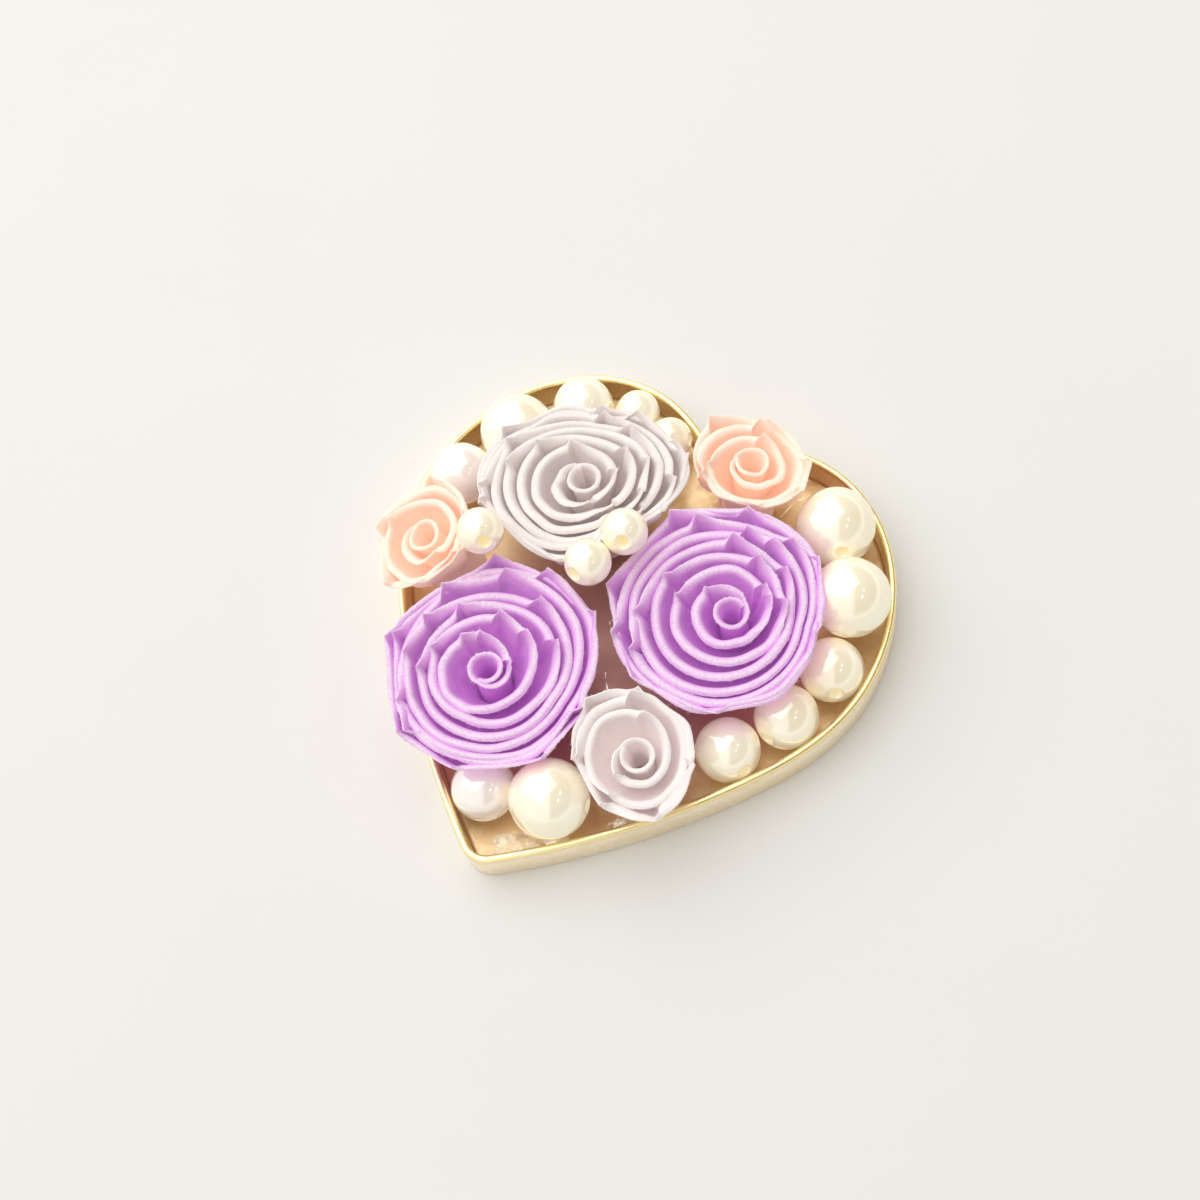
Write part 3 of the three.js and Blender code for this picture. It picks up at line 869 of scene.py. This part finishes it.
# %% [markdown]
# Where the strip is folded.
# The maker rolls one end of the strip into a tube, then folds the strip outwards at every petal
# and winds on. On the outermost turn there is a fold at every corner of the outline. Further in
# there are fewer, and they wander off the corners, because nobody folds by the ruler. A plain
# spiral could be drawn in one go, but a folded strip needs each petal's two ends. So a place on
# the strip is counted in corners passed since the core, and each section knows its petal.

# %% The strip's folds
CORE_RADIUS = 0.98
CORNER_TWIST = 14
EACH_CORNER_TURNS = 1
FOLD_WANDER = 0.3
FOLD_RHYTHM = 2.1
FOLD_START = 0.012
SECTION_PITCH = 0.16
FEWEST_SECTIONS = 6


def petal_folds(rose):
    """Places of the folds in corners passed, from the core outwards."""
    count = len(rose["corners"])
    last = rose["turns"] * count
    outer = last - EACH_CORNER_TURNS * count
    inner = [corner + FOLD_WANDER * math.sin(FOLD_RHYTHM * corner)
             for corner in range(count + 1, outer) if corner % count in rose["folded"]]
    return [0, count, *inner, *range(outer, last + 1)]


def corner_angle(rose, corner):
    """Direction of a place on the strip. The corners of the inner turns lie twisted backwards."""
    count, turns = len(rose["corners"]), rose["turns"]
    marks = np.arange(turns * count + 1)
    angles = [rose["corners"][mark % count][0] + 360 * (mark // count) for mark in marks]
    twist = CORNER_TWIST * np.minimum(0, corner / count - turns + 1)
    return np.interp(corner, marks, angles) + twist


def strip_line(rose):
    """Corner number of every section of the strip, and of both ends of its petal."""
    corners, starts, ends = [], [], []
    folds = petal_folds(rose)
    for start, end in zip(folds, folds[1:]):
        span = math.radians(float(corner_angle(rose, end) - corner_angle(rose, start)))
        radius = CORE_RADIUS + (rose["radius"] - CORE_RADIUS) * end / folds[-1]
        share = np.linspace(FOLD_START, 1, int(span * radius / SECTION_PITCH) + FEWEST_SECTIONS)
        corners.append(start + (end - start) * share)
        starts.append(np.full(len(share), start))
        ends.append(np.full(len(share), end))
    return np.concatenate(corners), np.concatenate(starts), np.concatenate(ends)


print("folds of each rose:", [len(petal_folds(rose)) for rose in ROSES.values()])

# %% [markdown]
# How wide the strip is wound.
# The core is a tight tube. From there the turns open quickly and then lie closer towards the
# outline, within the room that was measured. Beside the core lies the bowl, where the maker let
# the strip spring open. Between two folds real paper is nearly straight, not round, so the
# distance to the straight line is worked out too. A spiral formula alone gives a snail shell.

# %% The strip's radius
CORE_GROWTH = 0.16
OPENING_POWER = 0.65
OUTLINE_TURNS = 0.7
PRESS_PITCH = 0.3
BOWL_TURNS = (1, 1.6, 3.2)
DEEPEST_SAG = 0.085
WIDEST_PETAL = 150


def lip_radius(rose, outline, turn, angle):
    """Radius of the strip's outer edge, without its small accidents."""
    turns = rose["turns"]
    crisp, rounded, room = (np.interp(angle, DIRECTIONS, curve, period=360) for curve in outline)
    outwards = np.clip((turn - 1) / (turns - 1 - OUTLINE_TURNS), 0, 1)
    outer = rounded + (crisp - rounded) * outwards ** 2
    tube = CORE_RADIUS + CORE_GROWTH * np.clip(turn, 0, 1)
    left = room - PRESS_PITCH * np.maximum(0, turns - turn - OUTLINE_TURNS)
    lip = np.minimum(tube + (outer - tube) * outwards ** OPENING_POWER, left)
    direction, width = rose["bowl"]
    bowl = np.interp(turn, BOWL_TURNS, (0, 1, 0))
    return np.maximum(lip, tube) + width * bowl * np.cos(np.radians(angle - direction))


def petal_chord(rose, outline, corner, start, end):
    """How far a straight petal from fold to fold would lie inside the round one, in mm."""
    count = len(rose["corners"])
    here, first, last = (corner_angle(rose, mark) for mark in (corner, start, end))
    round_lip = lip_radius(rose, outline, corner / count, here)
    first_lip = lip_radius(rose, outline, start / count, first)
    last_lip = lip_radius(rose, outline, end / count, last)
    span, before, after = (np.radians(part) for part in (last - first, here - first, last - here))
    reach = first_lip * np.sin(before) + last_lip * np.sin(after)
    straight = first_lip * last_lip * np.sin(span) / reach
    inside = np.clip(round_lip - straight, 0, DEEPEST_SAG * round_lip)
    return np.where(last - first < WIDEST_PETAL, inside, 0)


outermost_lip = {node: float(lip_radius(rose, outlines[node], rose["turns"], 0))
                 for node, rose in ROSES.items()}
print("lip towards +X in mm:", {node: round(reach, 1) for node, reach in outermost_lip.items()})

# %% [markdown]
# How the band bends along a petal.
# Just after a fold the upper band lies bent over, wide and bright. Along the petal it stands up
# again, and at the next fold it ends in a raised point with its shaded inner side showing. A
# section that never changes misses all of this. So a few curves run along the strip: the angle,
# the lip's radius, the height, and the length and bend of the band. Seeded waves make them uneven.

# %% The strip's curves
WANDER_WAVES = 5
WANDER_RATES = (0.4, 1)
WANDER_GAIN = 1.6
LIP_DRIFTS = ((0.05, 9), (0.06, 4), (0.16, 1.4))
HEIGHT_DRIFT = 0.12
HEIGHT_WAVES = 3
OPENNESS = 0.9
OPENNESS_DRIFT = 0.15
OPENNESS_WAVES = 4
STRAIGHTNESS = 0.75
FOLDING_SETS_IN = 0.15
BAND_OPENS = 0.3
BAND_STANDS = 3.2
OPENING_EASE = 0.7
STANDING_EASE = 1.3
TAIL_CORNERS = 0.8
TAIL_DROP = 0.8
POINT_RISE = 0.3
POINT_BEFORE = 0.8
POINT_AFTER = 0.3
NARROWEST_PITCH = 0.35
WIDEST_PITCH = 0.85
OUTER_FADE = 0.8
OUTER_BAND = 1.15
LEAST_BEND = math.radians(22)
CORE_BEND = math.radians(75)
MOST_BEND = math.radians(148)
OUTER_LESS = math.radians(28)
TRIAL_SEED = 3


def wander(rng, turn, waves):
    """Slow drift between about -1 and 1, the sum of a few waves per turn."""
    rates = rng.uniform(*WANDER_RATES, WANDER_WAVES) * waves
    starts = rng.uniform(0, 2 * math.pi, WANDER_WAVES)
    return WANDER_GAIN * np.sin(2 * math.pi * np.outer(turn, rates) + starts).mean(1)


def strip_curves(rose, outline, rng):
    """Angle, lip radius, height, and length and bend of the band, in mm and radians."""
    corner, start, end = strip_line(rose)
    turn = corner / len(rose["corners"])
    angle = corner_angle(rose, corner)
    lip = lip_radius(rose, outline, turn, angle)
    inner_lip = lip_radius(rose, outline, turn - 1, angle)
    pitch = np.clip(lip - inner_lip, NARROWEST_PITCH, WIDEST_PITCH)
    folded = np.clip((turn - 1) / FOLDING_SETS_IN, 0, 1)
    lip = lip - STRAIGHTNESS * petal_chord(rose, outline, corner, start, end)
    drift = sum(reach * wander(rng, turn, waves) for reach, waves in LIP_DRIFTS)
    lip = lip + folded * pitch * drift
    from_fold = np.radians(angle - corner_angle(rose, start)) * lip
    to_fold = np.radians(corner_angle(rose, end) - angle) * lip
    point = np.maximum(np.exp(-to_fold / POINT_BEFORE), np.exp(-from_fold / POINT_AFTER))
    tail = np.clip((turn - rose["turns"]) * len(rose["corners"]) + TAIL_CORNERS, 0, 1)
    height = rose["height"] + HEIGHT_DRIFT * wander(rng, turn, HEIGHT_WAVES)
    height = height + POINT_RISE * (folded * point) - TAIL_DROP * tail ** 2
    standing = 1 - np.clip(to_fold / BAND_STANDS, 0, 1)
    bent = np.clip(from_fold / BAND_OPENS, 0, 1) ** OPENING_EASE * (1 - standing ** STANDING_EASE)
    openness = folded * bent * (OPENNESS + OPENNESS_DRIFT * wander(rng, turn, OPENNESS_WAVES))
    outermost = np.clip(turn - rose["turns"] + OUTLINE_TURNS + OUTER_FADE, 0, 1)
    length = pitch * (rose["band"] + (OUTER_BAND - rose["band"]) * outermost)
    most_bend = MOST_BEND - OUTER_LESS * outermost
    bend = LEAST_BEND + (most_bend - LEAST_BEND) * np.clip(openness, 0, 1)
    bend = CORE_BEND + (bend - CORE_BEND) * folded
    return dict(turn=turn, from_fold=from_fold, angle=np.radians(angle), lip=lip,
                height=height, length=length, bend=bend, folded=folded)


trial = strip_curves(
    ROSES["rose_white"], outlines["rose_white"], np.random.default_rng(TRIAL_SEED))
print("the white rose's strip has", len(trial["turn"]), "sections")

# %% [markdown]
# The strip's section.
# Cut across, the strip is a thin sheet: straight up from its glued foot, flaring above the tray's
# rim, then arching over in the band. Along a petal the band's bend changes and its length hardly
# does, as real paper behaves: less bend means a taller edge, and that raises the points. A
# Solidify modifier pinches tight bends, so both sides of the sheet are laid out from its middle
# line. At a fold the lower points run ahead, which makes the slanting crease.

# %% The strip's mesh
SHEET = 0.2
SHEET_EDGE = 0.14
CORE_SHEET = 1.5
CORE_ENDS = (0.9, 1.2)
EDGE_BULGE = 0.4
WAIST_HEIGHT = 2.8
FLARE_START = 0.15
FLARE_POINTS = (0.4, 0.75)
WALL_SLOPE = math.radians(80)
BAND_BELOW = 0.45
ARCH_POINTS = 7
CREASE_SLANT = 0.35
CREASE_RUN = 0.6
FRAY = 0.015
SLANT_WEIGHTS = np.array((0, 0, 0.2, 0.5, 0.8, 1, 1, 0.9, 0.75, 0.5, 0.25, 0))
# A painted highlight along each band's crest, strongest where the band faces up.
CREST_HIGHLIGHT = 0.95
CREST_HIGHLIGHT_SPREAD = math.radians(36)


def band_slopes(curves):
    """Slope of the sheet at the points of its band, from the wall over the crest to the edge."""
    return WALL_SLOPE - curves["bend"][:, None] * np.linspace(0, 1, ARCH_POINTS)


def middle_line(curves):
    """Radius and height of twelve points across the sheet, from foot to edge, for every section."""
    turn, lip = curves["turn"], curves["lip"]
    foot = np.stack([foot_radius(turn), 0 * turn], 1)
    length = curves["length"]
    slope = band_slopes(curves)
    curl = (length / curves["bend"])[:, None]
    arch = np.stack([curl * (math.sin(WALL_SLOPE) - np.sin(slope)),
                     curl * (np.cos(slope) - math.cos(WALL_SLOPE))], 2)
    shoulder = np.stack([lip - arch[:, -1, 0], curves["height"] - BAND_BELOW * length], 1)
    waist_radius = foot[:, 0] + (shoulder[:, 0] - foot[:, 0]) * FLARE_START
    waist = np.stack([waist_radius, np.full(len(turn), WAIST_HEIGHT)], 1)
    reach_back = np.linalg.norm(shoulder - waist, axis=1)[:, None] / 2
    guide = shoulder - reach_back * (math.cos(WALL_SLOPE), math.sin(WALL_SLOPE))
    wall = [waist * (1 - t) ** 2 + 2 * guide * t * (1 - t) + shoulder * t ** 2
            for t in FLARE_POINTS]
    lower = np.stack([foot, (foot + waist) / 2, waist, *wall], 1)
    return np.concatenate([lower, shoulder[:, None] + arch], 1)


def sheet_sides(line, turn, rng, fray):
    """The sheet's outer side, its edge and its inner side as one loop of points per section."""
    along = unit(np.gradient(line, axis=1))
    inwards = np.stack([-along[:, :, 1], along[:, :, 0]], 2)
    double = np.interp(turn, CORE_ENDS, (CORE_SHEET, 1))[:, None, None]
    half = double * np.linspace(SHEET, SHEET_EDGE, line.shape[1])[None, :, None] / 2
    tip = line[:, -1:] + along[:, -1:] * SHEET_EDGE * EDGE_BULGE
    tip = tip + rng.normal(0, FRAY * fray, tip.shape)
    return np.concatenate([line - inwards * half, tip, (line + inwards * half)[:, ::-1]], 1)


def strip_points(curves, rng, fray):
    loop = sheet_sides(middle_line(curves), curves["turn"], rng, fray)
    weights = np.concatenate([SLANT_WEIGHTS, [0], SLANT_WEIGHTS[::-1]])
    fading = np.exp(-curves["from_fold"] / CREASE_RUN)
    slant = CREASE_SLANT / curves["lip"] * curves["folded"] * fading
    angle = curves["angle"][:, None] + slant[:, None] * weights
    radius = loop[:, :, 0]
    return np.stack([radius * np.cos(angle), radius * np.sin(angle), loop[:, :, 1]], 2)


# Pale torn edge at the tip, and a painted highlight on the crest where the band faces up.
def strip_edge_and_highlight_mask(curves):
    slope = band_slopes(curves)
    crest_highlight = CREST_HIGHLIGHT * np.exp(-(slope / CREST_HIGHLIGHT_SPREAD) ** 2)
    half = np.concatenate([np.zeros((len(slope), len(SLANT_WEIGHTS) - ARCH_POINTS)), crest_highlight], 1)
    half[:, -1] = np.maximum(half[:, -1], CREST_HIGHLIGHT / 2)
    return np.concatenate([half, np.ones((len(slope), 1)), half[:, ::-1]], 1)


def strip_faces(sections, size):
    """Quads along the strip, facing outwards, and the strip's two closed ends."""
    faces = [(a, d, c, b) for a, b, c, d in ring_faces(sections, size)]
    for start, flip in ((0, False), ((sections - 1) * size, True)):
        for k in range(size // 2 - 1):
            quad = (start + k, start + k + 1, start + size - 2 - k, start + size - 1 - k)
            faces.append(quad[::-1] if flip else quad)
        middle = start + size // 2
        end = (middle - 1, middle, middle + 1)
        faces.append(end[::-1] if flip else end)
    return faces


print("one section has", 2 * len(SLANT_WEIGHTS) + 1, "points")

# %% [markdown]
# Loose fibres.
# Cut and creased paper sheds short hairs, most of all the soft purple one. A particle system can
# grow them, but it would have to be turned into a mesh for the finished part. Each hair here is a
# slim three-sided spike that grows from a random point of the strip's edge.

# %% Fibres on the edges
FIBRE_LENGTH = (0.1, 0.34)
FIBRE_RADIUS = 0.014
FIBRES_PER_SECTION = 0.35
FIBRE_SCATTER = 0.7
FIBRE_OUTWARDS = 0.6
FIBRE_UPWARDS = 0.5


def grow_fibres(tips, rng, fuzz):
    """Points and faces of slim spikes that start at some of the strip's edge points."""
    count = int(len(tips) * FIBRES_PER_SECTION * fuzz)
    roots = tips[rng.choice(len(tips), count, replace=False)]
    outwards = unit(roots * (1, 1, 0))
    lean = rng.normal(0, FIBRE_SCATTER, (count, 3)) + outwards * FIBRE_OUTWARDS
    lean = unit(lean + (0, 0, FIBRE_UPWARDS))
    side = unit(np.cross(lean, rng.normal(size=(count, 3))))
    other = np.cross(lean, side)
    points = [roots + FIBRE_RADIUS * (math.cos(t) * side + math.sin(t) * other)
              for t in np.radians((0, 120, 240))]
    points.append(roots + lean * rng.uniform(*FIBRE_LENGTH, (count, 1)))
    faces = [(a, a + 2, a + 1) for a in range(0, 4 * count, 4)]
    for a in range(0, 4 * count, 4):
        faces += [(a, a + 1, a + 3), (a + 1, a + 2, a + 3), (a + 2, a, a + 3)]
    return np.stack(points, 1).reshape(-1, 3), faces


print("fibres are up to", FIBRE_LENGTH[1], "mm long")

# %% [markdown]
# The roses.
# Now the line, the section and the fibres come together, once for each rose. Each rose has its
# own seed, so that its small accidents are its own and stay the same on every run. The strip's
# pale edges and the painted highlight on its crests are stored as a value on each point, which the
# paper reads as its edge mask.

# %% Rose meshes
FIRST_ROSE_SEED = 100
PAPER_CREASE = math.radians(40)


def make_rose(number, node):
    rose, rng = ROSES[node], np.random.default_rng(FIRST_ROSE_SEED + number)
    curves = strip_curves(rose, outlines[node], rng)
    points = strip_points(curves, rng, rose["fuzz"])
    sections, size = points.shape[:2]
    faces = strip_faces(sections, size)
    hairs, hair_faces = grow_fibres(points[:, size // 2], rng, rose["fuzz"])
    faces += [tuple(k + sections * size for k in face) for face in hair_faces]
    local = np.concatenate([points.reshape(-1, 3), hairs])
    axis = rose_axis(rose)
    placed = local @ axis[:3, :3].T + axis[:3, 3]
    flower = mesh_object(f"paper_{node}", placed, faces, [papers[rose["slot"]]])
    mask = np.concatenate([strip_edge_and_highlight_mask(curves).ravel(), np.ones(len(hairs))])
    edge_and_highlight = flower.data.attributes.new(EDGE_AND_HIGHLIGHT_MASK, "FLOAT", "POINT")
    edge_and_highlight.data.foreach_set("value", mask.astype(np.float32))
    flower.data.set_sharp_from_angle(angle=PAPER_CREASE)
    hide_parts(node)
    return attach(flower, "root")


roses = [make_rose(number, node) for number, node in enumerate(ROSES)]
for rose in roses:
    print(rose.name, len(rose.data.polygons), "faces")

# %% [markdown]
# Traces of clear glue.
# Hot glue holds everything down. It shows as a wrinkled film by the tip, as a few drops and as fine
# hairs that the glue gun left. Glass would be the textbook material, but it shades the gold under
# it. A faint white skin with a strong gloss and a low Alpha looks the same, and a painted glow from
# its emission keeps it light.

# %% Material: clear glue
GLUE_SCALE = 1400.0
GLUE_ALPHA = (0.4, 0.65, 0.02, 0.4)
GLUE_ROUGHNESS = (0.3, 0.7, 0.1, 0.3)
GLUE_RELIEF = (0.05 * MM, 0.5)


def make_glue():
    # The emission is a painted glow that keeps the thin film pale over the gold.
    material, tree, shader = start_material(
        "clear_glue", Base_Color=srgb(255, 252, 244), Coat_Weight=1.0, Coat_Roughness=0.05,
        Emission_Color=srgb(255, 246, 226), Emission_Strength=0.7)
    folds = noise(tree, object_place(tree), GLUE_SCALE, detail=2.0)
    feed(tree, shader, Alpha=remap(tree, folds, *GLUE_ALPHA),
         Roughness=remap(tree, folds, *GLUE_ROUGHNESS))
    bump(tree, shader, folds, *GLUE_RELIEF)
    return material


clear_glue = make_glue()
print("material", clear_glue.name)

# %% [markdown]
# Film, drops and hairs.
# A drop of glue is a low mound with a ragged outline. It could be a flattened sphere, but real
# drops creep along the floor, so each one is a fan of rings whose outline and height wander. A
# hair is a thin tube on a bent line, thick at its roots and fine in the middle. Drops are listed
# with their place, half lengths, turn and height, and hairs with their two ends and their rise.

# %% Glue meshes
DROPS = [
    ((1.5, -14.3, 0.5), (2.1, 0.75), 30, 0.12), ((3.6, -13.3, 0.5), (0.8, 0.6), 40, 0.5),
    ((6.5, -10.5, 0.5), (0.9, 0.5), 45, 0.9), ((8.1, 8.6, 0.5), (1.0, 0.7), 100, 0.5),
]
HAIRS = [
    ((1.95, -3.1, 5.0), (2.7, -4.1, 5.3), 0.5), ((0.75, 0.2, 5.2), (1.7, -0.95, 5.3), 0.35),
    ((0.5, 0.0, 5.0), (1.5, -1.2, 5.4), 0.2), ((6.75, 11.3, 4.9), (7.4, 13.3, 4.6), 0.3),
    ((6.3, -10.9, 0.7), (6.75, -10.2, 3.4), 0.1),
]
FIRST_DROP_SEED = 300
DROP_WAVES = np.arange(2, 8)
DROP_RAGGED = 0.09
DROP_WRINKLED = 0.12
DROP_SKIN = 0.02
DROP_RINGS = 8
DROP_SIDES = 40
HAIR_STEPS = 14
HAIR_SIDES = 6
HAIR_THICK = 0.07
HAIR_FINE = 0.028


def make_drop(number, place, half_axes, turned, height):
    """A low mound of glue that lies on the tray's floor."""
    rng = np.random.default_rng(FIRST_DROP_SEED + number)
    around = full_turn(DROP_SIDES)
    waves = np.outer(around, DROP_WAVES)
    starts = rng.uniform(0, 2 * math.pi, len(DROP_WAVES))
    ragged = 1 + DROP_RAGGED * np.cos(waves + starts).sum(1)
    points = [(0, 0, height)]
    for share in np.linspace(1 / DROP_RINGS, 1, DROP_RINGS):
        starts = starts + share
        folds = 1 + DROP_WRINKLED * np.cos(waves + starts).sum(1)
        level = height * math.sqrt(max(0, 1 - share ** 2)) * folds + DROP_SKIN
        points += list(zip(half_axes[0] * share * ragged * np.cos(around),
                           half_axes[1] * share * ragged * np.sin(around), level))
    points = np.array([*points, *(np.array(points[-DROP_SIDES:]) * (1, 1, 0))])
    faces = [(0, 1 + k, 1 + (k + 1) % DROP_SIDES) for k in range(DROP_SIDES)]
    faces += [tuple(k + 1 for k in face[::-1]) for face in ring_faces(DROP_RINGS + 1, DROP_SIDES)]
    faces.append(tuple(range(len(points) - DROP_SIDES, len(points)))[::-1])
    turn = np.array(Matrix.Rotation(math.radians(turned), 3, "Z"))
    drop = mesh_object(f"glue_drop_{number}", points @ turn.T + place, faces, [clear_glue])
    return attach(drop, "root")


def make_hair(number, start, end, rise):
    """A thin tube of glue between two places, bent upwards in the middle."""
    share = np.linspace(0, 1, HAIR_STEPS)[:, None]
    bow = np.array((0, 0, rise)) * np.sin(math.pi * share)
    line = np.array(start) * (1 - share) + np.array(end) * share + bow
    along = unit(np.gradient(line, axis=0))
    side = unit(np.cross(along, (1, 0, 0)))
    other = np.cross(along, side)
    radius = HAIR_FINE + (HAIR_THICK - HAIR_FINE) * (2 * share - 1) ** 4
    rings = [line[k] + radius[k] * (math.cos(t) * side[k] + math.sin(t) * other[k])
             for k in range(HAIR_STEPS) for t in full_turn(HAIR_SIDES)]
    last = (HAIR_STEPS - 1) * HAIR_SIDES
    ends = [tuple(range(HAIR_SIDES))[::-1], tuple(range(last, last + HAIR_SIDES))]
    faces = [*ring_faces(HAIR_STEPS, HAIR_SIDES), *ends]
    hair = mesh_object(f"glue_hair_{number}", rings, faces, [clear_glue])
    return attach(hair, "root")


glue = [make_drop(number, *drop) for number, drop in enumerate(DROPS, 1)]
glue += [make_hair(number, *hair) for number, hair in enumerate(HAIRS, 1)]
print("traces of glue:", len(glue))
